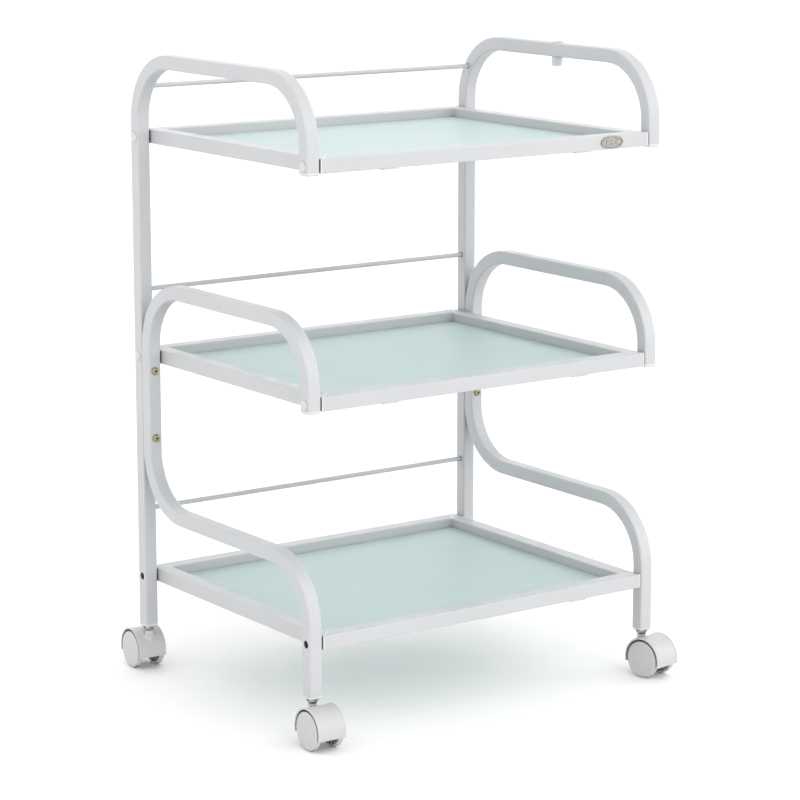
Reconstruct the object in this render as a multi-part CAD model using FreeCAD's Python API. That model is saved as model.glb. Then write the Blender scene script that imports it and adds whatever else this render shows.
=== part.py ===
"""Rolling salon trolley: bent square tube sides, three glass shelves and four twin-wheel casters.

Millimetres. +X is to the right, the front faces -Y, +Z is up. The origin is on the floor under
the middle of the trolley. Each piece is written to parts/ as one STEP file.
"""
import FreeCAD, Part
import math
import os

Vector = FreeCAD.Vector
X_AXIS = Vector(1, 0, 0)
Y_AXIS = Vector(0, 1, 0)
Z_AXIS = Vector(0, 0, 1)

# Overall frame
FRAME_WIDTH = 567.0
FRAME_DEPTH = 430.0
LEG_CLEARANCE = 60.0          # floor to the underside of the leg plugs
TOP_ARCH_HEIGHT = 858.5       # top face of the upper side bars
MIDDLE_ARCH_HEIGHT = 553.0
LOWER_BAR_HEIGHT = 244.0

# Side tubes
TUBE = 19.0
TUBE_WALL = 1.2
TUBE_CORNER = 2.2
BEND_RADIUS = 83.0            # to the tube's centre line
ARCH_END_DROP = 21.0          # shelf top to the lower end of an arch

# Shelves
SHELF_TOPS = {"top": 753.5, "middle": 454.0, "bottom": 143.5}
RAIL_WIDTH = 22.0
RAIL_HEIGHT = 19.0
RAIL_WALL = 1.2
RAIL_CORNER = 1.6
SHELF_GAP = 2.0               # washer between side tube and shelf frame
SHELF_OVERHANG = 2.0          # shelf frame behind the rear uprights
GLASS_THICKNESS = 5.0
GLASS_RECESS = 12.7           # rail top to glass top
GLASS_EDGE_GAP = 1.5
GLASS_CORNER = 2.5
GLASS_EDGE_BREAK = 0.6
TAB_LENGTH = 24.0
TAB_THICKNESS = 2.0
TAB_REACH = 14.0              # past the rail's inner face
TAB_SPREAD = 310.0            # between the two tabs on one rail
PAD_RADIUS = 5.5

# Rear cross rods
ROD_RADIUS = 3.25
ROD_HOLE_RADIUS = 4.2
ROD_END_GAP = 0.5             # to the inside of the outer wall
ROD_END_CHAMFER = 0.5
ROD_HEIGHTS = {"top": 813.0, "middle": 536.0, "bottom": 229.5}

# Fasteners
BOLT_RADIUS = 2.5
BOLT_HOLE_RADIUS = 2.8
BOLT_HEAD_RADIUS = 4.4
BOLT_HEAD_HEIGHT = 5.0
BOLT_TAIL = 1.5               # thread showing past the nut
BOLT_KEY_FLATS = 4.0
BOLT_KEY_DEPTH = 2.5
ACCESS_HOLE_RADIUS = 5.4
CAP_RADIUS = 6.8
CAP_HEIGHT = 1.5
CAP_PLUG_LENGTH = 4.0
CAP_PLUG_WALL = 1.2
NUT_ACROSS_FLATS = 8.0
NUT_HEIGHT = 4.0
FIT_GAP = 0.05                # radial gap of pieces that fit each other
TUBE_SCREW_HEIGHTS = (427.0, 333.5)
PAN_HEAD_RADIUS = 5.2
PAN_HEAD_HEIGHT = 3.0
RECESS_DEPTH = 1.8            # cross recess of the pan heads
RECESS_REACH = 2.8
RECESS_HALF_WIDTH = 0.55

# Socket for a lamp post in the right upper bar
SOCKET_BORE_RADIUS = 6.35
SOCKET_BODY_RADIUS = 7.9
SOCKET_TIP_RADIUS = 7.2
SOCKET_FLANGE_RADIUS = 8.9
SOCKET_FLANGE_HEIGHT = 1.2
SOCKET_EDGE_BREAK = 0.5
SOCKET_DROP = 13.0            # below the bar
SOCKET_Y = -4.0

# Badge on the top front rail
BADGE_X = 200.0
BADGE_WIDTH = 37.0
BADGE_HEIGHT = 17.6
BADGE_THICKNESS = 1.4
BADGE_RIM = 1.6
LOZENGE_SPACING = 8.0
LOZENGE_HALF_WIDTH = 2.6
LOZENGE_HALF_HEIGHT = 3.6

# End plugs of the side tubes
PLUG_WALL_GAP = 0.15          # to the inside of the tube
ARCH_PLUG_FLANGE = 3.0
ARCH_PLUG_TAPER = 1.6
ARCH_PLUG_DEPTH = 1.6
LEG_PLUG_FLANGE = 4.4
LEG_PLUG_TAPER = 3.0
LEG_PLUG_DEPTH = 22.0

# Casters
WHEEL_RADIUS = 25.4
WHEEL_INNER_FACE = 13.3       # from the caster's middle plane
WHEEL_SHOULDER = 20.6         # outer edge of the tread
WHEEL_FACE_EDGE = 21.4
WHEEL_OUTER_FACE = 22.0
WHEEL_EDGE_RADIUS = 0.9
FACE_RADIUS = 22.4            # of the domed outer disc
WHEEL_RIM_THICKNESS = 2.6
WHEEL_RECESS_DEPTH = 3.6      # on the inner side
WHEEL_HUB_RADIUS = 6.5
WHEEL_RIBS = 16
RIB_THICKNESS = 1.2
RIB_SETBACK = 1.0             # from the wheel's inner face
AXLE_RADIUS = 3.0
AXLE_HALF_LENGTH = 18.4
AXLE_END_GAP = 0.4
AXLE_CHAMFER = 0.4
CASTER_TRAIL = 18.5           # stem axis to axle
HOOD_RADIUS = 29.8
HOOD_RIM_RADIUS = 30.3
HOOD_INNER_RADIUS = 28.3
HOOD_HALF_WIDTH = 20.3
HOOD_RIM_WIDTH = 1.6
HOOD_HEM_HEIGHT = 18.4        # floor to the hood's lower edge
AXLE_HUB_RADIUS = 7.0
AXLE_HUB_HALF_WIDTH = 12.9
WEB_THICKNESS = 4.0
NECK_RADIUS = 5.8
BOSS_RADIUS = 8.4
BOSS_SHOULDER = 47.5          # where the boss narrows to the neck
BOSS_TOP = 55.3
STEM_RADIUS = 4.0
STEM_BOTTOM = 37.5
STEM_TOP = 82.5
STEM_CHAMFER = 0.8
COLLAR_RADIUS = 7.8
COLLAR_FOOT_RADIUS = 5.6
COLLAR_BAND = 1.3             # height of the collar's widest part
COLLAR_GAP = 0.3              # above the hood's neck
CASTER_TURNS = {"front_left": -2.0, "front_right": 8.5, "rear_left": 176.0, "rear_right": 186.0}

HALF_WIDTH = FRAME_WIDTH / 2
HALF_DEPTH = FRAME_DEPTH / 2
HALF_TUBE = TUBE / 2
POST_X = HALF_WIDTH - HALF_TUBE
POST_Y = HALF_DEPTH - HALF_TUBE
SHELF_HALF_WIDTH = HALF_WIDTH - TUBE - SHELF_GAP
SIDES = {"left": -1, "right": 1}
LEGS = {
    "front_left": (-POST_X, -POST_Y),
    "front_right": (POST_X, -POST_Y),
    "rear_left": (-POST_X, POST_Y),
    "rear_right": (POST_X, POST_Y),
}


def save(name, shape):
    """Writes one piece to its own file."""
    shape.exportStep(os.path.join("parts", name + ".step"))


def box(low, high):
    """A block between two opposite corners."""
    low, high = Vector(*low), Vector(*high)
    size = high - low
    return Part.makeBox(size.x, size.y, size.z, low)


def rod(radius, start, end):
    """A round bar from start to end."""
    start, end = Vector(*start), Vector(*end)
    return Part.makeCylinder(radius, (end - start).Length, start, end - start)


def closed_edges(shape):
    """The round end edges of a turned shape."""
    return [e for e in shape.Edges if e.Closed]


def fuse_all(shapes):
    """One solid from several that touch or overlap."""
    return shapes[0].fuse(shapes[1:]).removeSplitter()


def rounded_rectangle(width, height, radius):
    """A closed outline in the XY plane, centred on the origin, with round corners."""
    x, y = width / 2 - radius, height / 2 - radius
    corners = [(x, y, 0), (-x, y, 90), (-x, -y, 180), (x, -y, 270)]
    edges = []
    for index, (centre_x, centre_y, start) in enumerate(corners):
        circle = Part.Circle(Vector(centre_x, centre_y, 0), Z_AXIS, radius)
        arc = Part.Arc(circle, math.radians(start), math.radians(start + 90))
        edges.append(arc.toShape())
        next_x, next_y, turn = corners[(index + 1) % len(corners)]
        ahead = Vector(math.cos(math.radians(turn)), math.sin(math.radians(turn)), 0)
        line_start = arc.EndPoint
        line_end = Vector(next_x, next_y, 0) + ahead * radius
        edges.append(Part.LineSegment(line_start, line_end).toShape())
    return Part.Wire(edges)


def hollow_section(width, height, corner, wall):
    """The cross-section of a rectangular tube, in the XY plane."""
    outer = Part.Face(rounded_rectangle(width, height, corner))
    inner = Part.Face(rounded_rectangle(width - 2 * wall, height - 2 * wall, corner - wall))
    return outer.cut(inner).Faces[0]


def bent_tube(x, route):
    """A square tube in the plane at x, through (y, z) corners that are all bent to one radius."""
    section = hollow_section(TUBE, TUBE, TUBE_CORNER, TUBE_WALL)
    points = [Vector(x, y, z) for y, z in route]
    pieces = []
    here = points[0]
    for index in range(1, len(points)):
        ahead = (points[index] - points[index - 1]).normalize()
        last = index == len(points) - 1
        turn_start = points[index] if last else points[index] - ahead * BEND_RADIUS
        placed = section.copy()
        placed.Placement = FreeCAD.Placement(here, FreeCAD.Rotation(Z_AXIS, ahead))
        pieces.append(placed.extrude(turn_start - here))
        if last:
            break
        after = (points[index + 1] - points[index]).normalize()
        bend_section = section.copy()
        bend_section.Placement = FreeCAD.Placement(turn_start, FreeCAD.Rotation(Z_AXIS, ahead))
        centre = turn_start + after * BEND_RADIUS
        pieces.append(bend_section.revolve(centre, ahead.cross(after), 90))
        here = points[index] + after * BEND_RADIUS
    return fuse_all(pieces)


def shelf_bolt_positions(shelf, side):
    """Where the front and rear bolts of one shelf pass through one side's outer face."""
    height = SHELF_TOPS[shelf] - RAIL_HEIGHT / 2
    return [Vector(side * HALF_WIDTH, y, height) for y in (-POST_Y, POST_Y)]


def rod_position(level):
    """The (y, z) of a cross rod on the centre line of the rear uprights."""
    height = ROD_HEIGHTS[level]
    bend_start = TOP_ARCH_HEIGHT - HALF_TUBE - BEND_RADIUS
    rise = max(height - bend_start, 0)
    inset = BEND_RADIUS - math.sqrt(BEND_RADIUS**2 - rise**2)
    return POST_Y - inset, height


def bolt_hole_cuts(shelf, side, y_sign):
    """The access hole in the outer wall and the bolt hole in the inner wall of a side tube."""
    outer = [p for p in shelf_bolt_positions(shelf, side) if p.y * y_sign > 0][0]
    inward = X_AXIS * -side
    access = Part.makeCylinder(ACCESS_HOLE_RADIUS, HALF_TUBE, outer, inward)
    through = Part.makeCylinder(BOLT_HOLE_RADIUS, TUBE, outer, inward)
    return [access, through]


def tube_screw_cuts(side):
    """Holes for the screws that join the leg tube to the rear upright."""
    front = HALF_DEPTH - 2 * TUBE
    cuts = []
    for height in TUBE_SCREW_HEIGHTS:
        start = (side * POST_X, front, height)
        end = (side * POST_X, front + TUBE + HALF_TUBE, height)
        cuts.append(rod(BOLT_HOLE_RADIUS, start, end))
    return cuts


def rear_upright_tube(side):
    """Rear post, upper side bar and the drop to the top shelf's front corner, bent from one tube."""
    bar = TOP_ARCH_HEIGHT - HALF_TUBE
    end = SHELF_TOPS["top"] - ARCH_END_DROP + ARCH_PLUG_FLANGE
    route = [
        (POST_Y, LEG_CLEARANCE + LEG_PLUG_FLANGE),
        (POST_Y, bar),
        (-POST_Y, bar),
        (-POST_Y, end),
    ]
    cuts = tube_screw_cuts(side)
    for shelf in SHELF_TOPS:
        cuts += bolt_hole_cuts(shelf, side, 1)
    cuts += bolt_hole_cuts("top", side, -1)
    for level in ROD_HEIGHTS:
        y, z = rod_position(level)
        cuts.append(rod(ROD_HOLE_RADIUS, (side * POST_X, y, z), (side * (POST_X - TUBE), y, z)))
    if side == SIDES["right"]:
        below = (side * POST_X, SOCKET_Y, bar - TUBE)
        above = (side * POST_X, SOCKET_Y, bar + TUBE)
        cuts.append(rod(SOCKET_BODY_RADIUS + FIT_GAP, below, above))
    return bent_tube(side * POST_X, route).cut(cuts)


def front_leg_tube(side):
    """Middle side bar, the run down the rear upright, lower side bar and front leg, one tube."""
    bar = MIDDLE_ARCH_HEIGHT - HALF_TUBE
    lower_bar = LOWER_BAR_HEIGHT - HALF_TUBE
    back = POST_Y - TUBE
    route = [
        (-POST_Y, SHELF_TOPS["middle"] - ARCH_END_DROP + ARCH_PLUG_FLANGE),
        (-POST_Y, bar),
        (back, bar),
        (back, lower_bar),
        (-POST_Y, lower_bar),
        (-POST_Y, LEG_CLEARANCE + LEG_PLUG_FLANGE),
    ]
    cuts = tube_screw_cuts(side)
    cuts += bolt_hole_cuts("middle", side, -1)
    cuts += bolt_hole_cuts("bottom", side, -1)
    return bent_tube(side * POST_X, route).cut(cuts)


def shelf_corners():
    """The shelf frame's front, rear and side limits."""
    return -HALF_DEPTH, HALF_DEPTH + SHELF_OVERHANG, SHELF_HALF_WIDTH


def shelf_rails(shelf):
    """Four mitred rails of one shelf frame, by position."""
    front, rear, half = shelf_corners()
    top = SHELF_TOPS[shelf]
    middle_height = top - RAIL_HEIGHT / 2
    section = hollow_section(RAIL_WIDTH, RAIL_HEIGHT, RAIL_CORNER, RAIL_WALL)
    inner_half = half - RAIL_WIDTH
    inner_front, inner_rear = front + RAIL_WIDTH, rear - RAIL_WIDTH
    mitres = {
        "front": [(-half, front), (half, front), (inner_half, inner_front), (-inner_half, inner_front)],
        "rear": [(-half, rear), (half, rear), (inner_half, inner_rear), (-inner_half, inner_rear)],
        "left": [(-half, front), (-inner_half, inner_front), (-inner_half, inner_rear), (-half, rear)],
        "right": [(half, front), (inner_half, inner_front), (inner_half, inner_rear), (half, rear)],
    }
    rails = {}
    for position, outline in mitres.items():
        if position in ("front", "rear"):
            y = (outline[0][1] + outline[2][1]) / 2
            start, along, length = Vector(-half, y, middle_height), X_AXIS, 2 * half
            turn = FreeCAD.Rotation(Vector(0, 1, 0), Vector(0, 0, 1), Vector(1, 0, 0), "ZXY")
        else:
            x = (outline[0][0] + outline[1][0]) / 2
            start, along, length = Vector(x, front, middle_height), Y_AXIS, rear - front
            turn = FreeCAD.Rotation(X_AXIS, 90)
        placed = section.copy()
        placed.Placement = FreeCAD.Placement(start, turn)
        bar = placed.extrude(along * length)
        corners = [Vector(x, y, top - RAIL_HEIGHT - 1) for x, y in outline + outline[:1]]
        prism = Part.Face(Part.makePolygon(corners)).extrude(Z_AXIS * (RAIL_HEIGHT + 2))
        rails[position] = bar.common(prism)
    for name, side in SIDES.items():
        reach = SHELF_GAP + RAIL_WIDTH / 2
        for point in shelf_bolt_positions(shelf, side):
            start = point - X_AXIS * side * TUBE
            hole = Part.makeCylinder(BOLT_HOLE_RADIUS, reach, start, X_AXIS * -side)
            rails[name] = rails[name].cut(hole)
    return rails


def glass_panel(shelf):
    """One pane with softened edges, lying inside the rails."""
    front, rear, half = shelf_corners()
    top = SHELF_TOPS[shelf] - GLASS_RECESS
    inset = RAIL_WIDTH + GLASS_EDGE_GAP
    low = (-half + inset, front + inset, top - GLASS_THICKNESS)
    high = (half - inset, rear - inset, top)
    pane = box(low, high)
    upright = [e for e in pane.Edges if abs(e.tangentAt(e.FirstParameter).z) > 0.99]
    pane = pane.makeFillet(GLASS_CORNER, upright)
    level = [e for e in pane.Edges if abs(e.tangentAt(e.FirstParameter).z) < 0.01]
    return pane.makeChamfer(GLASS_EDGE_BREAK, level)


def tab_positions(shelf):
    """The middle of each glass tab's rail edge and the way it points into the opening."""
    front, rear, _ = shelf_corners()
    under = SHELF_TOPS[shelf] - RAIL_HEIGHT
    spots = []
    for x in (-TAB_SPREAD / 2, TAB_SPREAD / 2):
        spots.append((Vector(x, front + RAIL_WIDTH, under), 1))
        spots.append((Vector(x, rear - RAIL_WIDTH, under), -1))
    return spots


def glass_tabs():
    """Flat tabs welded under the front and rear rails, which carry the glass."""
    tabs = []
    for shelf in SHELF_TOPS:
        for edge, inward in tab_positions(shelf):
            outer_y = edge.y - inward * (RAIL_WIDTH - RAIL_CORNER)
            inner_y = edge.y + inward * TAB_REACH
            low = (edge.x - TAB_LENGTH / 2, min(outer_y, inner_y), edge.z - TAB_THICKNESS)
            high = (edge.x + TAB_LENGTH / 2, max(outer_y, inner_y), edge.z)
            tabs.append(box(low, high))
    return Part.makeCompound(tabs)


def glass_pads():
    """Clear round pads between each tab and the glass."""
    height = RAIL_HEIGHT - GLASS_RECESS - GLASS_THICKNESS
    pads = []
    for shelf in SHELF_TOPS:
        for edge, inward in tab_positions(shelf):
            centre = edge + Y_AXIS * inward * (TAB_REACH - PAD_RADIUS - 1)
            pads.append(Part.makeCylinder(PAD_RADIUS, height, centre))
    return Part.makeCompound(pads)


def rear_rod(level):
    """A round rod whose ends sit inside the two rear uprights."""
    y, z = rod_position(level)
    reach = HALF_WIDTH - TUBE_WALL - ROD_END_GAP
    bar = rod(ROD_RADIUS, (-reach, y, z), (reach, y, z))
    return bar.makeChamfer(ROD_END_CHAMFER, closed_edges(bar))


def hex_prism(across_flats, height, base, direction):
    """A six-sided prism standing on base."""
    radius = across_flats / math.sqrt(3)
    corners = []
    for step in range(7):
        angle = math.radians(60 * step)
        corners.append(Vector(radius * math.cos(angle), radius * math.sin(angle), 0))
    prism = Part.Face(Part.makePolygon(corners)).extrude(Z_AXIS * height)
    prism.Placement = FreeCAD.Placement(base, FreeCAD.Rotation(Z_AXIS, direction))
    return prism


def shelf_bolt(outer_face, side):
    """A socket-head bolt whose head bears on the inside of the side tube's inner wall."""
    inward = X_AXIS * -side
    seat = outer_face + inward * (TUBE - TUBE_WALL)
    shank = TUBE_WALL + SHELF_GAP + RAIL_WALL + NUT_HEIGHT + BOLT_TAIL
    head = Part.makeCylinder(BOLT_HEAD_RADIUS, BOLT_HEAD_HEIGHT, seat, inward * -1)
    key_base = seat - inward * (BOLT_HEAD_HEIGHT - BOLT_KEY_DEPTH)
    key = hex_prism(BOLT_KEY_FLATS, BOLT_KEY_DEPTH, key_base, inward * -1)
    body = Part.makeCylinder(BOLT_RADIUS, shank, seat, inward)
    return head.fuse(body).cut(key)


def nut(base, direction):
    """A plain hexagon nut with its bore clear of the thread."""
    bore = Part.makeCylinder(BOLT_RADIUS + FIT_GAP, NUT_HEIGHT, base, direction)
    return hex_prism(NUT_ACROSS_FLATS, NUT_HEIGHT, base, direction).cut(bore)


def shelf_fasteners():
    """Bolts, spacer washers and nuts that hold the shelf frames between the side tubes."""
    bolts, washers, nuts = [], [], []
    for side in SIDES.values():
        inward = X_AXIS * -side
        for shelf in SHELF_TOPS:
            for point in shelf_bolt_positions(shelf, side):
                bolts.append(shelf_bolt(point, side))
                tube_face = point + inward * TUBE
                washer = Part.makeCylinder(CAP_RADIUS, SHELF_GAP, tube_face, inward)
                bore = Part.makeCylinder(BOLT_HOLE_RADIUS, SHELF_GAP, tube_face, inward)
                washers.append(washer.cut(bore))
                nuts.append(nut(tube_face + inward * (SHELF_GAP + RAIL_WALL), inward))
    return bolts, washers, nuts


def hole_caps():
    """Low round caps over the bolt holes of the two upper shelves."""
    caps = []
    for side in SIDES.values():
        outward = X_AXIS * side
        for shelf in ("top", "middle"):
            for point in shelf_bolt_positions(shelf, side):
                disc = Part.makeCylinder(CAP_RADIUS, CAP_HEIGHT, point, outward)
                rim = [e for e in disc.Edges if e.Closed and abs(e.CenterOfMass.x) > HALF_WIDTH + 1]
                disc = disc.makeFillet(CAP_HEIGHT * 0.8, rim)
                radius = ACCESS_HOLE_RADIUS - FIT_GAP
                plug = Part.makeCylinder(radius, CAP_PLUG_LENGTH, point, outward * -1)
                hollow = Part.makeCylinder(radius - CAP_PLUG_WALL, CAP_PLUG_LENGTH, point, outward * -1)
                caps.append(disc.fuse(plug.cut(hollow)))
    return Part.makeCompound(caps)


def tube_screw(side, height):
    """A cross-recess pan-head screw from the leg tube's front face into the rear upright."""
    front = Vector(side * POST_X, HALF_DEPTH - 2 * TUBE, height)
    length = TUBE + TUBE_WALL + NUT_HEIGHT + BOLT_TAIL
    head = Part.makeCylinder(PAN_HEAD_RADIUS, PAN_HEAD_HEIGHT, front, Y_AXIS * -1)
    face = front.y - PAN_HEAD_HEIGHT
    edge = [e for e in head.Edges if e.Closed and abs(e.CenterOfMass.y - face) < 0.1]
    head = head.makeFillet(PAN_HEAD_HEIGHT * 0.6, edge)
    screw = head.fuse(Part.makeCylinder(BOLT_RADIUS, length, front, Y_AXIS))
    arms = ((RECESS_REACH, RECESS_HALF_WIDTH), (RECESS_HALF_WIDTH, RECESS_REACH))
    for half_x, half_z in arms:
        low = (front.x - half_x, face, height - half_z)
        high = (front.x + half_x, face + RECESS_DEPTH, height + half_z)
        screw = screw.cut(box(low, high))
    return screw


def tube_fasteners():
    """The screws between leg tube and rear upright, and their nuts inside the upright."""
    screws, nuts = [], []
    for side in SIDES.values():
        for height in TUBE_SCREW_HEIGHTS:
            screws.append(tube_screw(side, height))
            base = Vector(side * POST_X, HALF_DEPTH - TUBE + TUBE_WALL, height)
            nuts.append(nut(base, Y_AXIS))
    return screws, nuts


def lamp_socket_bushing():
    """A flanged sleeve through the right upper bar that takes a lamp's round post."""
    x = POST_X
    under = TOP_ARCH_HEIGHT - TUBE
    tip = under - SOCKET_DROP
    flange_top = TOP_ARCH_HEIGHT + SOCKET_FLANGE_HEIGHT
    outline = [
        (SOCKET_BORE_RADIUS, tip),
        (SOCKET_TIP_RADIUS, tip),
        (SOCKET_BODY_RADIUS, under),
        (SOCKET_BODY_RADIUS, TOP_ARCH_HEIGHT),
        (SOCKET_FLANGE_RADIUS, TOP_ARCH_HEIGHT),
        (SOCKET_FLANGE_RADIUS, flange_top - SOCKET_EDGE_BREAK),
        (SOCKET_FLANGE_RADIUS - SOCKET_EDGE_BREAK, flange_top),
        (SOCKET_BORE_RADIUS, flange_top),
    ]
    return turned(outline, x, SOCKET_Y)


def turned(outline, x, y):
    """A solid of revolution about the upright axis at (x, y), from (radius, height) points."""
    points = [Vector(x + radius, y, height) for radius, height in outline + outline[:1]]
    face = Part.Face(Part.makePolygon(points))
    return face.revolve(Vector(x, y, 0), Z_AXIS, 360)


def badge():
    """A plain oval plate with a raised rim and three small raised lozenges."""
    centre = Vector(BADGE_X, -HALF_DEPTH, SHELF_TOPS["top"] - RAIL_HEIGHT / 2)

    def oval(shrink, thickness):
        ellipse = Part.Ellipse(Vector(0, 0, 0), BADGE_WIDTH / 2 - shrink, BADGE_HEIGHT / 2 - shrink)
        plate = Part.Face(Part.Wire(ellipse.toShape())).extrude(Z_AXIS * thickness)
        plate.Placement = FreeCAD.Placement(centre, FreeCAD.Rotation(X_AXIS, 90))
        return plate

    rim = oval(0, BADGE_THICKNESS).cut(oval(BADGE_RIM, BADGE_THICKNESS))
    field = oval(BADGE_RIM / 2, BADGE_THICKNESS * 0.6)
    lozenges = []
    width, height = LOZENGE_HALF_WIDTH, LOZENGE_HALF_HEIGHT
    for offset in (-LOZENGE_SPACING, 0, LOZENGE_SPACING):
        x, z = centre.x + offset, centre.z
        corners = [(x - width, z), (x, z + height), (x + width, z), (x, z - height), (x - width, z)]
        outline = Part.makePolygon([Vector(px, centre.y, pz) for px, pz in corners])
        lozenges.append(Part.Face(outline).extrude(Y_AXIS * -BADGE_THICKNESS * 0.85))
    return rim.fuse([field] + lozenges)


def square_plug(x, y, flange_bottom, flange_height, taper, depth):
    """A moulded plug for a tube's lower end: a flange that tapers downwards and an inner block."""
    flange_top = flange_bottom + flange_height
    outline = rounded_rectangle(TUBE, TUBE, TUBE_CORNER)
    underside = rounded_rectangle(TUBE - 2 * taper, TUBE - 2 * taper, TUBE_CORNER)
    outline.translate(Vector(x, y, flange_bottom + taper))
    underside.translate(Vector(x, y, flange_bottom))
    band = Part.Face(outline).extrude(Z_AXIS * (flange_height - taper))
    foot = Part.makeLoft([underside, outline], True, True)
    insert_half = HALF_TUBE - TUBE_WALL - PLUG_WALL_GAP
    low = (x - insert_half, y - insert_half, flange_top)
    high = (x + insert_half, y + insert_half, flange_top + depth)
    insert = box(low, high)
    upright = [e for e in insert.Edges if abs(e.tangentAt(e.FirstParameter).z) > 0.99]
    insert = insert.makeFillet(TUBE_CORNER - TUBE_WALL, upright)
    return fuse_all([band, foot, insert])


def leg_plug(leg):
    """A leg's end plug with the hole for the caster stem."""
    x, y = LEGS[leg]
    hole = rod(STEM_RADIUS + FIT_GAP, (x, y, LEG_CLEARANCE), (x, y, STEM_TOP + 1))
    plug = square_plug(x, y, LEG_CLEARANCE, LEG_PLUG_FLANGE, LEG_PLUG_TAPER, LEG_PLUG_DEPTH)
    return plug.cut(hole)


def arch_end_plugs():
    """Plugs in the four arch ends at the front corners of the two upper shelves."""
    sizes = (ARCH_PLUG_FLANGE, ARCH_PLUG_TAPER, ARCH_PLUG_DEPTH)
    plugs = []
    for side in SIDES.values():
        for shelf in ("top", "middle"):
            bottom = SHELF_TOPS[shelf] - ARCH_END_DROP
            plugs.append(square_plug(side * POST_X, -POST_Y, bottom, *sizes))
    return Part.makeCompound(plugs)


def in_place(shape, leg):
    """Turns a caster piece, built about a stem at the origin, to its leg."""
    x, y = LEGS[leg]
    moved = shape.copy()
    moved.Placement = FreeCAD.Placement(Vector(x, y, 0), FreeCAD.Rotation(Z_AXIS, CASTER_TURNS[leg]))
    return moved


def across(radius, start, end):
    """A round bar along the axle's line, between two distances from the middle plane."""
    return rod(radius, (start, -CASTER_TRAIL, WHEEL_RADIUS), (end, -CASTER_TRAIL, WHEEL_RADIUS))


def caster_stem():
    """Threaded stem, tapered collar and the smooth pin that the caster turns on."""
    seat = BOSS_TOP + COLLAR_GAP
    outline = [
        (0, STEM_BOTTOM),
        (STEM_RADIUS - STEM_CHAMFER, STEM_BOTTOM),
        (STEM_RADIUS, STEM_BOTTOM + STEM_CHAMFER),
        (STEM_RADIUS, seat),
        (COLLAR_FOOT_RADIUS, seat),
        (COLLAR_RADIUS, LEG_CLEARANCE - COLLAR_BAND),
        (COLLAR_RADIUS, LEG_CLEARANCE),
        (STEM_RADIUS, LEG_CLEARANCE),
        (STEM_RADIUS, STEM_TOP - STEM_CHAMFER),
        (STEM_RADIUS - STEM_CHAMFER, STEM_TOP),
        (0, STEM_TOP),
    ]
    return turned(outline, 0, 0)


def caster_boss():
    """The swivel boss: a round-ended post that narrows to a neck under the collar."""
    base = STEM_BOTTOM - 1
    post = rod(BOSS_RADIUS, (0, 0, base), (0, 0, BOSS_SHOULDER))
    end = Part.makeSphere(BOSS_RADIUS, Vector(0, 0, base))
    slope = BOSS_RADIUS - NECK_RADIUS
    cone = Part.makeCone(BOSS_RADIUS, NECK_RADIUS, slope, Vector(0, 0, BOSS_SHOULDER))
    neck = rod(NECK_RADIUS, (0, 0, BOSS_SHOULDER), (0, 0, BOSS_TOP))
    return fuse_all([post, end, cone, neck])


def caster_hood():
    """The moulded hood over both wheels, with its middle web, axle hub and swivel boss."""
    shell = across(HOOD_RADIUS, -HOOD_HALF_WIDTH, HOOD_HALF_WIDTH)
    rim_start = HOOD_HALF_WIDTH - HOOD_RIM_WIDTH
    for low, high in ((-HOOD_HALF_WIDTH, -rim_start), (rim_start, HOOD_HALF_WIDTH)):
        shell = shell.fuse(across(HOOD_RIM_RADIUS, low, high))
    hollow = across(HOOD_INNER_RADIUS, -HOOD_HALF_WIDTH, HOOD_HALF_WIDTH)
    web = across(HOOD_RADIUS, -WEB_THICKNESS / 2, WEB_THICKNESS / 2)
    reach = 2 * HOOD_RIM_RADIUS
    below = box((-reach, -2 * reach, -reach), (reach, 2 * reach, HOOD_HEM_HEIGHT))
    hub = across(AXLE_HUB_RADIUS, -AXLE_HUB_HALF_WIDTH, AXLE_HUB_HALF_WIDTH)
    hood = fuse_all([shell.cut(hollow), web]).cut(below)
    pin_hole = rod(STEM_RADIUS + FIT_GAP, (0, 0, STEM_BOTTOM - 1), (0, 0, BOSS_TOP))
    axle_hole = across(AXLE_RADIUS + FIT_GAP, -AXLE_HUB_HALF_WIDTH, AXLE_HUB_HALF_WIDTH)
    return fuse_all([hood, hub, caster_boss()]).cut([pin_hole, axle_hole])


def caster_axle():
    """The steel pin that both wheels run on."""
    pin = across(AXLE_RADIUS, -AXLE_HALF_LENGTH, AXLE_HALF_LENGTH)
    return pin.makeChamfer(AXLE_CHAMFER, closed_edges(pin))


def wheel_ribs(start, end):
    """Thin ribs between hub and rim, on the wheel's inner side."""
    ribs = []
    for index in range(WHEEL_RIBS):
        low = (start, -CASTER_TRAIL - RIB_THICKNESS / 2, WHEEL_RADIUS + WHEEL_HUB_RADIUS - 1)
        high = (end, -CASTER_TRAIL + RIB_THICKNESS / 2, 2 * WHEEL_RADIUS - WHEEL_RIM_THICKNESS + 1)
        rib = box(low, high)
        turn = 360 / WHEEL_RIBS * (index + 0.5)
        rib.rotate(Vector(0, -CASTER_TRAIL, WHEEL_RADIUS), X_AXIS, turn)
        ribs.append(rib)
    return ribs


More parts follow.
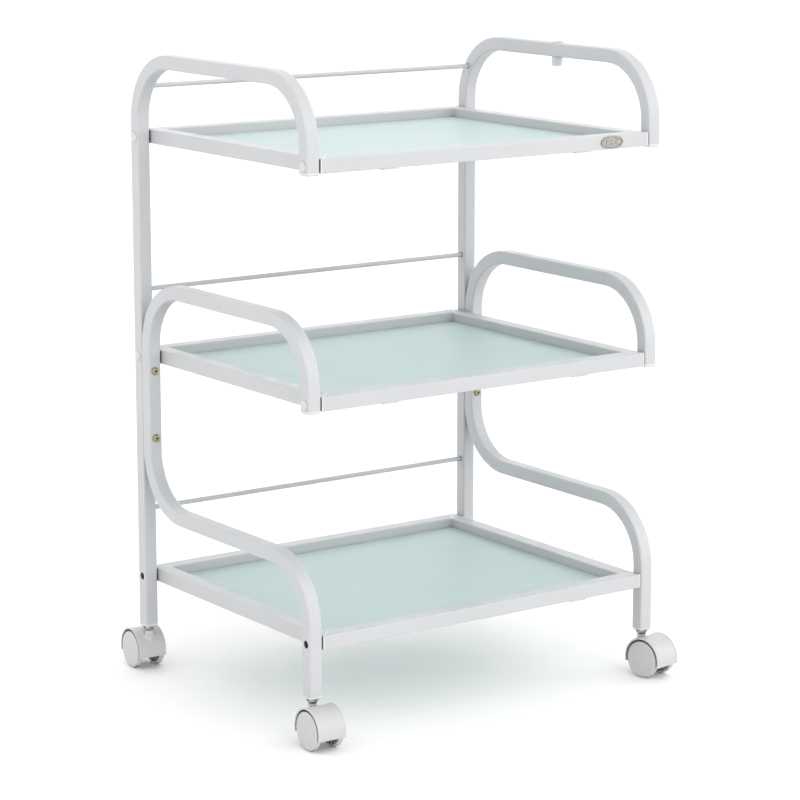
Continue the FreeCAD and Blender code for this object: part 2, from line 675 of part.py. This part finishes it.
def caster_wheel():
    """One wheel on the +X side: a tread, a domed closed outer face, a ribbed recess and a hub."""
    tread = across(WHEEL_RADIUS, WHEEL_INNER_FACE, WHEEL_SHOULDER)
    tread = tread.makeFillet(WHEEL_EDGE_RADIUS, closed_edges(tread))
    foot_radius = WHEEL_RADIUS - WHEEL_EDGE_RADIUS
    start = Vector(WHEEL_SHOULDER, -CASTER_TRAIL, WHEEL_RADIUS)
    length = WHEEL_FACE_EDGE - WHEEL_SHOULDER
    shoulder = Part.makeCone(foot_radius, FACE_RADIUS, length, start, X_AXIS)
    dome = WHEEL_OUTER_FACE - WHEEL_FACE_EDGE
    dome_radius = (FACE_RADIUS**2 + dome**2) / (2 * dome)
    dome_centre = Vector(WHEEL_OUTER_FACE - dome_radius, -CASTER_TRAIL, WHEEL_RADIUS)
    face = across(FACE_RADIUS, WHEEL_SHOULDER, WHEEL_OUTER_FACE)
    face = face.common(Part.makeSphere(dome_radius, dome_centre))
    recess_end = WHEEL_INNER_FACE + WHEEL_RECESS_DEPTH
    recess = across(WHEEL_RADIUS - WHEEL_RIM_THICKNESS, WHEEL_INNER_FACE, recess_end)
    recess = recess.cut(across(WHEEL_HUB_RADIUS, WHEEL_INNER_FACE, recess_end))
    wheel = tread.fuse([shoulder, face]).cut(recess)
    wheel = wheel.fuse(wheel_ribs(WHEEL_INNER_FACE + RIB_SETBACK, recess_end + 1))
    bore = across(AXLE_RADIUS + FIT_GAP, WHEEL_INNER_FACE - 1, AXLE_HALF_LENGTH + AXLE_END_GAP)
    return wheel.cut(bore).removeSplitter()


def save_side_frames():
    """The four bent tubes and their end plugs."""
    for name, side in SIDES.items():
        save(name + "_rear_upright_tube", rear_upright_tube(side))
        save(name + "_front_leg_tube", front_leg_tube(side))
    save("arch_end_plugs", arch_end_plugs())
    for leg in LEGS:
        save(leg + "_leg_plug", leg_plug(leg))


def save_shelves():
    """Shelf rails, glass, tabs, pads and rear rods."""
    for shelf in SHELF_TOPS:
        for position, rail in shelf_rails(shelf).items():
            save(f"{shelf}_shelf_{position}_rail", rail)
        save(shelf + "_glass_panel", glass_panel(shelf))
        save(shelf + "_rear_rod", rear_rod(shelf))
    save("glass_tabs", glass_tabs())
    save("glass_pads", glass_pads())


def save_fasteners():
    """Bolts, screws, nuts, washers and caps."""
    bolts, washers, nuts = shelf_fasteners()
    screws, tube_nuts = tube_fasteners()
    save("shelf_bolts", Part.makeCompound(bolts))
    save("spacer_washers", Part.makeCompound(washers))
    save("tube_screws", Part.makeCompound(screws))
    save("hex_nuts", Part.makeCompound(nuts + tube_nuts))
    save("hole_caps", hole_caps())


def save_casters():
    """Stem, hood, axle and two wheels for each leg."""
    right_wheel = caster_wheel()
    left_wheel = right_wheel.mirror(Vector(0, 0, 0), X_AXIS)
    for leg in LEGS:
        save(leg + "_caster_stem", in_place(caster_stem(), leg))
        save(leg + "_caster_hood", in_place(caster_hood(), leg))
        save(leg + "_caster_axle", in_place(caster_axle(), leg))
        turned_round = math.cos(math.radians(CASTER_TURNS[leg])) < 0
        outer, inner = (left_wheel, right_wheel) if turned_round else (right_wheel, left_wheel)
        save(leg + "_caster_right_wheel", in_place(outer, leg))
        save(leg + "_caster_left_wheel", in_place(inner, leg))


os.makedirs("parts", exist_ok=True)
save_side_frames()
save_shelves()
save_fasteners()
save("lamp_socket_bushing", lamp_socket_bushing())
save("oval_badge", badge())
save_casters()
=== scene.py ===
"""The look of a rolling salon trolley: coated tubes, three frosted glass shelves, twin-wheel casters."""

import math
import random

import bmesh
import bpy
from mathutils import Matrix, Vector


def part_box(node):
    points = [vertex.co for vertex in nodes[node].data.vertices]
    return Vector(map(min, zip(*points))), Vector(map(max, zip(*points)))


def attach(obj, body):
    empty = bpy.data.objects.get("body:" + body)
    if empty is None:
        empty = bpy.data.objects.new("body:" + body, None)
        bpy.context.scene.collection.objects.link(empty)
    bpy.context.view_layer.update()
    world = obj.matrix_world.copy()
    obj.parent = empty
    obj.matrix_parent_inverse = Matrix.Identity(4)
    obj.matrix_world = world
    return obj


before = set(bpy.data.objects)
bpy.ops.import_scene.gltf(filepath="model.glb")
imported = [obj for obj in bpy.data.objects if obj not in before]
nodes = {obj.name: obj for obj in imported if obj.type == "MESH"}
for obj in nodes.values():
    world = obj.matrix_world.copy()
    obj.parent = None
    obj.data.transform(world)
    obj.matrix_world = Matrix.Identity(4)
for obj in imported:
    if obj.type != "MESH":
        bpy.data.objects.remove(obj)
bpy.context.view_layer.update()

MM = 0.001
LEGS = ("front_left", "front_right", "rear_left", "rear_right")
SIDES = ("left", "right")
SHELVES = ("top", "middle", "bottom")

# a wheel's scuffs start at the inner radius and are full at the outer one
SCUFF_INNER_RADIUS = 24.4 * MM
SCUFF_OUTER_RADIUS = 25.2 * MM

BEAD_SIDES = 12
BEAD_STEPS_PER_RIPPLE = 5
BEAD_FEWEST_STEPS = 8
BEAD_HALF_WIDTH = 1.3 * MM
BEAD_DRESSED_HEIGHT = 0.16 * MM
RIPPLE_PITCH = 1.3 * MM
RIPPLE_DEPTH = 0.14
RIPPLE_LAG = 0.35
BEAD_WANDER = 0.08
MITRE_OUTER_INSET = 1.4 * MM
MITRE_INNER_INSET = 0.9 * MM
FILLET_ABOVE_GLASS = 0.6 * MM
FILLET_BELOW_TOP = 1.6 * MM

FLOOR_HALF = 30.0
LAMP_DISTANCE = 5.0
# name, azimuth and elevation it shines from and spread in degrees, strength
LAMPS = (
    ("front_light", 0.0, 26.0, 40.0, 0.50),
    ("right_light", 60.0, 20.0, 50.0, 0.60),
    ("rear_light", 150.0, 30.0, 60.0, 0.13),
)
# the walls end and the ceiling starts at these heights of the view direction
WALL_TOP, CEILING_EDGE = 0.55, 0.95
WALL_LIGHT, CEILING_LIGHT = 1.46, 0.95

CAMERA_AZIMUTH = math.radians(-35.34)
CAMERA_ELEVATION = math.radians(11.57)
CAMERA_PLACE = (-2.2136, -3.1345, 1.1694)
CAMERA_LENS = 128.85
CAMERA_SENSOR = 36.0


# ---------------------------------------------------------------- node trees

class Tree:
    """A material's node tree round one Principled shader, with short calls to add and join nodes."""

    def __init__(self, name, **sockets):
        self.material = bpy.data.materials.new(name)
        self.material.use_nodes = True
        self.tree = self.material.node_tree
        self.tree.nodes.clear()
        self.shader = self.add("ShaderNodeBsdfPrincipled", **sockets)
        output = self.add("ShaderNodeOutputMaterial")
        self.tree.links.new(self.shader.outputs[0], output.inputs[0])
        self.place = self.add("ShaderNodeTexCoord").outputs["Object"]

    def add(self, kind, settings=None, **sockets):
        made = self.tree.nodes.new(kind)
        for name, value in (settings or {}).items():
            setattr(made, name, value)
        for name, value in sockets.items():
            self.put(made.inputs[name.replace("_", " ")], value)
        return made

    def put(self, socket, value):
        if isinstance(value, bpy.types.NodeSocket):
            self.tree.links.new(value, socket)
        else:
            socket.default_value = value

    def stretched(self, scale):
        """The place on the piece with each axis scaled on its own, for marks that run one way."""
        mapping = self.add("ShaderNodeMapping", Vector=self.place)
        mapping.inputs["Scale"].default_value = scale
        return mapping.outputs[0]

    def noise(self, scale, detail=2.0, rough=0.5, distortion=0.0, place=None):
        made = self.add(
            "ShaderNodeTexNoise",
            Vector=place or self.place,
            Scale=scale,
            Detail=detail,
            Roughness=rough,
            Distortion=distortion,
        )
        return made.outputs["Fac"]

    def span(self, value, low, high, to_low=0.0, to_high=1.0):
        """Value from low..high mapped to to_low..to_high, and held there outside."""
        made = self.add("ShaderNodeMapRange", {"clamp": True}, Value=value)
        for index, number in enumerate((low, high, to_low, to_high), start=1):
            made.inputs[index].default_value = number
        return made.outputs[0]

    def wander(self, noise, low=0.0, high=1.0):
        """A number that wanders from low to high with the noise, which lies mostly at 0.3 to 0.7."""
        return self.span(noise, 0.3, 0.7, low, high)

    def product(self, a, b):
        made = self.add("ShaderNodeMath", {"operation": "MULTIPLY"})
        self.put(made.inputs[0], a)
        self.put(made.inputs[1], b)
        return made.outputs[0]

    def blend(self, share, a, b, mode="MIX"):
        """Colour a turning into colour b as share goes from 0 to 1."""
        made = self.add("ShaderNodeMix", {"data_type": "RGBA", "blend_type": mode})
        self.put(made.inputs[0], share)
        for socket, value in ((made.inputs[6], a), (made.inputs[7], b)):
            self.put(socket, value if isinstance(value, bpy.types.NodeSocket) else (*value, 1.0))
        return made.outputs[2]

    def bump(self, height, distance, strength=1.0, under=None):
        made = self.add("ShaderNodeBump", Height=height, Strength=strength, Distance=distance)
        if under is not None:
            self.put(made.inputs["Normal"], under)
        return made.outputs[0]

    def edges(self, radius, low, high):
        """1 on outer and inner edges within radius, 0 on open faces."""
        bevel = self.add("ShaderNodeBevel", {"samples": 6}, Radius=radius)
        normal = self.add("ShaderNodeNewGeometry").outputs["Normal"]
        dot = self.add("ShaderNodeVectorMath", {"operation": "DOT_PRODUCT"})
        self.put(dot.inputs[0], bevel.outputs[0])
        self.put(dot.inputs[1], normal)
        return self.span(dot.outputs["Value"], 1.0 - low, 1.0 - high)

    def openness(self, distance, low, high):
        """0 deep inside a tube or a narrow gap, 1 in the open."""
        made = self.add("ShaderNodeAmbientOcclusion", {"samples": 12}, Distance=distance)
        return self.span(made.outputs["AO"], low, high)

    def finish(self, **sockets):
        for name, value in sockets.items():
            self.put(self.shader.inputs[name.replace("_", " ")], value)
        return self.material


# ---------------------------------------------------------------- finishes

def powder_coat():
    """Satin white powder coat: orange peel, slow changes in tone, painted highlights on edges, painted
    shade in seams and near-black painted shade inside the tubes.
    """
    t = Tree("white_powder_coat_finish", IOR=1.5)
    colour = t.blend(t.wander(t.noise(7.0)), (0.458, 0.464, 0.479), (0.482, 0.488, 0.501))
    speck = t.span(t.noise(1400.0, 1.0), 0.35, 0.65, 0.985, 1.015)
    speck_grey = t.add("ShaderNodeCombineColor", Red=speck, Green=speck, Blue=speck).outputs[0]
    colour = t.blend(1.0, colour, speck_grey, "MULTIPLY")
    unevenness = t.span(t.noise(55.0, 4.0), 0.4, 0.62, 0.6, 1.0)
    # painted highlight: the edges are painted pale, unevenly along their length
    painted_edge_highlight = t.product(t.edges(1.8 * MM, 0.01, 0.16), unevenness)
    colour = t.blend(painted_edge_highlight, colour, (0.80, 0.80, 0.805))
    # painted shade: grey in seams and narrow gaps between parts
    colour = t.blend(t.openness(4 * MM, 0.14, 0.46), (0.30, 0.303, 0.315), colour)
    # painted shade: near black deep inside the tubes
    colour = t.blend(t.openness(24 * MM, 0.10, 0.30), (0.012, 0.012, 0.013), colour)
    peel = t.bump(t.noise(420.0, 2.0, 0.45), 0.10 * MM, 0.35)
    peel = t.bump(t.noise(2600.0, 1.0), 0.02 * MM, 0.3, peel)
    rough = t.wander(t.noise(36.0, 3.0), 0.34, 0.46)
    return t.finish(Base_Color=colour, Roughness=rough, Normal=peel)


def frosted_glass():
    """Etched pale mint safety glass: cloudy body, greener edge, fine etched tooth, faint wipe marks."""
    t = Tree("mint_glass_finish", IOR=1.46, Transmission_Weight=0.2)
    cloud = t.wander(t.noise(5.0, 3.0, 0.55, 0.4))
    colour = t.blend(cloud, (0.520, 0.640, 0.640), (0.540, 0.656, 0.656))
    colour = t.blend(t.edges(2.0 * MM, 0.02, 0.3), colour, (0.50, 0.78, 0.74))
    wipe = t.noise(9.0, 4.0, 0.6, 1.2, t.stretched((1.0, 5.0, 1.0)))
    rough = t.span(wipe, 0.35, 0.7, 0.46, 0.54)
    tooth = t.bump(t.noise(2400.0), 0.02 * MM, 0.4)
    return t.finish(Base_Color=colour, Roughness=rough, Normal=tooth)


def clear_pad():
    """Clear soft bumper pads."""
    t = Tree("clear_pad_finish", IOR=1.45, Transmission_Weight=0.7)
    colour = t.blend(t.wander(t.noise(300.0)), (0.82, 0.86, 0.86), (0.9, 0.92, 0.92))
    rough = t.wander(t.noise(240.0), 0.18, 0.34)
    dimple = t.bump(t.noise(900.0), 0.03 * MM, 0.3)
    return t.finish(Base_Color=colour, Roughness=rough, Normal=dimple)


def white_plastic():
    """Satin moulded plugs, caps and the lamp socket, with painted highlights on edges and painted shade
    in seams.
    """
    t = Tree("white_plastic_finish", IOR=1.49)
    colour = t.blend(t.wander(t.noise(60.0)), (0.520, 0.525, 0.538), (0.550, 0.554, 0.563))
    # painted highlight on the edges
    colour = t.blend(t.edges(0.9 * MM, 0.02, 0.24), colour, (0.78, 0.78, 0.785))
    # painted shade in seams and narrow gaps
    colour = t.blend(t.openness(2.5 * MM, 0.45, 0.90), (0.26, 0.262, 0.27), colour)
    rough = t.wander(t.noise(180.0), 0.32, 0.46)
    grain = t.bump(t.noise(1500.0), 0.03 * MM, 0.35)
    return t.finish(Base_Color=colour, Roughness=rough, Normal=grain)


def zinc_steel():
    """Bright zinc plate with turning marks round the vertical axis, a faint passivation tint and painted
    shade in recesses.
    """
    t = Tree("zinc_steel_finish", Metallic=1.0)
    tint = t.wander(t.noise(90.0, 3.0, 0.6, 0.6))
    colour = t.blend(tint, (0.36, 0.375, 0.40), (0.47, 0.475, 0.475))
    # painted shade: near black in recesses
    colour = t.blend(t.openness(6 * MM, 0.2, 0.8), (0.06, 0.06, 0.065), colour)
    turned = t.noise(60.0, 3.0, 0.6, 0.0, t.stretched((1.0, 1.0, 45.0)))
    rough = t.wander(turned, 0.22, 0.40)
    return t.finish(Base_Color=colour, Roughness=rough, Normal=t.bump(turned, 0.03 * MM, 0.5))


def brass_plate():
    """Yellow zinc plate on the cross-head screws, with painted shade in the recess."""
    t = Tree("brass_plated_steel_finish", Metallic=1.0)
    tint = t.wander(t.noise(380.0, 3.0, 0.6))
    colour = t.blend(tint, (0.30, 0.255, 0.15), (0.42, 0.37, 0.25))
    # painted shade in the cross recess
    colour = t.blend(t.openness(3.2 * MM, 0.45, 0.9), (0.018, 0.015, 0.012), colour)
    rough = t.wander(t.noise(700.0), 0.24, 0.42)
    pits = t.bump(t.noise(1300.0), 0.03 * MM, 0.4)
    return t.finish(Base_Color=colour, Roughness=rough, Normal=pits)


def pewter():
    """Satin pewter plate with patina settled beside the raised rim and lozenges."""
    t = Tree("pewter_finish", Metallic=1.0)
    tint = t.wander(t.noise(260.0, 3.0, 0.6))
    colour = t.blend(tint, (0.33, 0.315, 0.285), (0.43, 0.415, 0.385))
    colour = t.blend(t.openness(2.6 * MM, 0.62, 0.98), (0.055, 0.05, 0.042), colour)
    rough = t.wander(t.noise(520.0), 0.30, 0.48)
    pits = t.bump(t.noise(1500.0), 0.03 * MM, 0.5)
    return t.finish(Base_Color=colour, Roughness=rough, Normal=pits)


def mould_texture(t):
    """The fine texture that the mould leaves on hoods and wheels."""
    return t.bump(t.noise(1100.0), 0.04 * MM, 0.35)


def hood_plastic():
    """Warm off-white nylon, painted highlights on edges, painted shade where the hood closes round the
    wheels.
    """
    t = Tree("caster_hood_finish", IOR=1.52)
    slow = t.wander(t.noise(45.0, 3.0, 0.55, 0.5))
    colour = t.blend(slow, (0.480, 0.470, 0.468), (0.505, 0.495, 0.492))
    # painted highlight on the edges
    colour = t.blend(t.edges(0.9 * MM, 0.02, 0.3), colour, (0.68, 0.67, 0.665))
    # painted shade in the gap where the hood closes round the wheels
    colour = t.blend(t.openness(10 * MM, 0.10, 0.55), (0.13, 0.122, 0.118), colour)
    rough = t.wander(t.noise(160.0), 0.30, 0.44)
    return t.finish(Base_Color=colour, Roughness=rough, Normal=mould_texture(t))


def wheel_plastic(node):
    """The same nylon on a wheel, with scuffs and dust on the tread, painted highlights on edges and
    painted shade inside the hood.
    """
    t = Tree(f"{node}_finish", IOR=1.52)
    slow = t.wander(t.noise(70.0, 3.0, 0.55, 0.5))
    colour = t.blend(slow, (0.480, 0.470, 0.463), (0.510, 0.500, 0.493))
    # painted highlight on the edges
    colour = t.blend(t.edges(0.8 * MM, 0.02, 0.3), colour, (0.62, 0.61, 0.60))
    low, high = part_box(node)
    from_axle = t.add("ShaderNodeVectorMath", {"operation": "DISTANCE"})
    t.put(from_axle.inputs[0], t.place)
    t.put(from_axle.inputs[1], (low + high) / 2)
    tread = t.span(from_axle.outputs["Value"], SCUFF_INNER_RADIUS, SCUFF_OUTER_RADIUS)
    scuff = t.product(tread, t.span(t.noise(420.0, 4.0, 0.65), 0.42, 0.62, 0.15, 0.7))
    colour = t.blend(scuff, colour, (0.44, 0.43, 0.42))
    # painted shade in the gaps round the wheel inside the hood
    colour = t.blend(t.openness(10 * MM, 0.10, 0.60), (0.13, 0.122, 0.118), colour)
    rough = t.wander(t.noise(160.0), 0.34, 0.50)
    return t.finish(Base_Color=colour, Roughness=rough, Normal=mould_texture(t))


def floor_paint():
    """A plain pale studio floor with the faintest mottle."""
    t = Tree("floor_finish")
    colour = t.blend(t.wander(t.noise(1.3)), (0.92, 0.915, 0.91), (0.935, 0.93, 0.925))
    return t.finish(Base_Color=colour, Roughness=t.wander(t.noise(20.0), 0.75, 0.85))


FINISHES = {
    "white_powder_coat": powder_coat(),
    "mint_glass": frosted_glass(),
    "clear_pad": clear_pad(),
    "white_plastic": white_plastic(),
    "zinc_steel": zinc_steel(),
    "brass_plated_steel": brass_plate(),
    "pewter": pewter(),
    "caster_plastic": hood_plastic(),
}
for node in nodes.values():
    for slot in node.material_slots:
        slot.material = FINISHES[slot.material.name.split(".")[0]]
for leg in LEGS:
    for side in SIDES:
        wheel = f"{leg}_caster_{side}_wheel"
        nodes[wheel].material_slots[0].material = wheel_plastic(wheel)


# ---------------------------------------------------------------- weld beads

def bead(mesh, start, end, across, up, height, chance):
    """A weld bead: an oval section that swells with each ripple and tapers at both ends."""
    along = end - start
    ripples = along.length / RIPPLE_PITCH
    steps = max(BEAD_FEWEST_STEPS, round(ripples * BEAD_STEPS_PER_RIPPLE))
    rings = []
    for step in range(steps + 1):
        share = step / steps
        taper = min(1.0, 6 * min(share, 1 - share) + 0.25) ** 0.5
        ripple = abs(math.sin(math.pi * share * ripples))
        swell = taper * (1 - RIPPLE_DEPTH + RIPPLE_DEPTH * ripple)
        wander = across * (BEAD_HALF_WIDTH * BEAD_WANDER * chance.uniform(-1, 1))
        ring = []
        for side in range(BEAD_SIDES):
            angle = 2 * math.pi * side / BEAD_SIDES
            sideways = across * (BEAD_HALF_WIDTH * swell * math.cos(angle))
            outwards = up * (height * swell * math.sin(angle))
            lag = along.normalized() * (RIPPLE_LAG * RIPPLE_PITCH * math.sin(angle) * taper)
            ring.append(mesh.verts.new(start + along * share + wander + sideways + outwards - lag))
        rings.append(ring)
    for low, high in zip(rings, rings[1:]):
        for side in range(BEAD_SIDES):
            after = (side + 1) % BEAD_SIDES
            mesh.faces.new((low[side], low[after], high[after], high[side]))
    mesh.faces.new(list(reversed(rings[0])))
    mesh.faces.new(rings[-1])


def add_object(name, mesh, finish):
    """Turns a bmesh into an object of the scene with one finish."""
    data = bpy.data.meshes.new(name)
    mesh.to_mesh(data)
    mesh.free()
    made = bpy.data.objects.new(name, data)
    made.data.materials.append(finish)
    bpy.context.scene.collection.objects.link(made)
    return made


def shelf_welds(shelf):
    """Low dressed beads over the four mitres, and fillets in the four inner corners above the glass."""
    front_low, front_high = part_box(f"{shelf}_shelf_front_rail")
    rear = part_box(f"{shelf}_shelf_rear_rail")[1].y
    glass_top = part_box(f"{shelf}_glass_panel")[1].z
    width = front_high.y - front_low.y
    chance = random.Random(f"{shelf} welds")
    mesh = bmesh.new()
    for x_outer, x_inwards in ((front_low.x, 1), (front_high.x, -1)):
        for y_outer, y_inwards in ((front_low.y, 1), (rear, -1)):
            diagonal = Vector((x_inwards, y_inwards, 0)).normalized()
            across = Vector((-y_inwards, x_inwards, 0)).normalized()
            outer = Vector((x_outer, y_outer, 0))
            inner = outer + Vector((x_inwards * width, y_inwards * width, 0))
            for z, facing in ((front_high.z, 1), (front_low.z, -1)):
                start = Vector((outer.x, outer.y, z)) + diagonal * MITRE_OUTER_INSET
                end = Vector((inner.x, inner.y, z)) - diagonal * MITRE_INNER_INSET
                bead(mesh, start, end, across, Vector((0, 0, facing)), BEAD_DRESSED_HEIGHT, chance)
            start = Vector((inner.x, inner.y, glass_top + FILLET_ABOVE_GLASS))
            end = Vector((inner.x, inner.y, front_high.z - FILLET_BELOW_TOP))
            bead(mesh, start, end, across, diagonal, BEAD_HALF_WIDTH, chance)
    bmesh.ops.recalc_face_normals(mesh, faces=mesh.faces)
    made = add_object(f"{shelf}_shelf_welds", mesh, FINISHES["white_powder_coat"])
    made.data.shade_smooth()
    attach(made, "chassis")


for shelf in SHELVES:
    shelf_welds(shelf)


# ---------------------------------------------------------------- room, light, camera

def studio_floor():
    mesh = bmesh.new()
    corners = ((-1, -1), (1, -1), (1, 1), (-1, 1))
    mesh.faces.new([mesh.verts.new((x * FLOOR_HALF, y * FLOOR_HALF, 0.0)) for x, y in corners])
    add_object("studio_floor", mesh, floor_paint())


def outwards_from(azimuth, elevation):
    """The direction from the trolley towards a lamp or camera: azimuth 0 is the front, +Z is up."""
    return Vector((
        math.sin(azimuth) * math.cos(elevation),
        -math.cos(azimuth) * math.cos(elevation),
        math.sin(elevation),
    ))


def lamp(name, azimuth, elevation, spread, strength):
    """A broad even light from far away, from that azimuth and elevation in degrees."""
    light = bpy.data.lights.new(name, "SUN")
    light.angle = math.radians(spread)
    light.energy = strength
    made = bpy.data.objects.new(name, light)
    towards = outwards_from(math.radians(azimuth), math.radians(elevation))
    made.location = towards * LAMP_DISTANCE
    made.rotation_mode = "QUATERNION"
    made.rotation_quaternion = towards.to_track_quat("Z", "Y")
    bpy.context.scene.collection.objects.link(made)


def studio_world():
    """Bright walls all round and a dimmer ceiling above them."""
    world = bpy.data.worlds.new("studio")
    world.use_nodes = True
    tree = world.node_tree
    direction = tree.nodes.new("ShaderNodeTexCoord").outputs["Generated"]
    parts = tree.nodes.new("ShaderNodeSeparateXYZ")
    tree.links.new(direction, parts.inputs[0])
    light = tree.nodes.new("ShaderNodeMapRange")
    light.interpolation_type = "SMOOTHSTEP"
    tree.links.new(parts.outputs["Z"], light.inputs["Value"])
    for index, number in enumerate((WALL_TOP, CEILING_EDGE, WALL_LIGHT, CEILING_LIGHT), start=1):
        light.inputs[index].default_value = number
    tree.links.new(light.outputs[0], tree.nodes["Background"].inputs["Strength"])
    tree.nodes["Background"].inputs["Color"].default_value = (1.0, 1.0, 1.0, 1.0)
    bpy.context.scene.world = world


def camera():
    data = bpy.data.cameras.new("camera")
    data.sensor_width = CAMERA_SENSOR
    data.lens = CAMERA_LENS
    data.clip_end = 100.0
    made = bpy.data.objects.new("camera", data)
    made.location = CAMERA_PLACE
    made.rotation_mode = "QUATERNION"
    outwards = outwards_from(CAMERA_AZIMUTH, CAMERA_ELEVATION)
    made.rotation_quaternion = (-outwards).to_track_quat("-Z", "Y")
    bpy.context.scene.collection.objects.link(made)
    bpy.context.scene.camera = made


studio_floor()
for values in LAMPS:
    lamp(*values)
studio_world()
camera()
bpy.context.scene.view_settings.view_transform = "Standard"
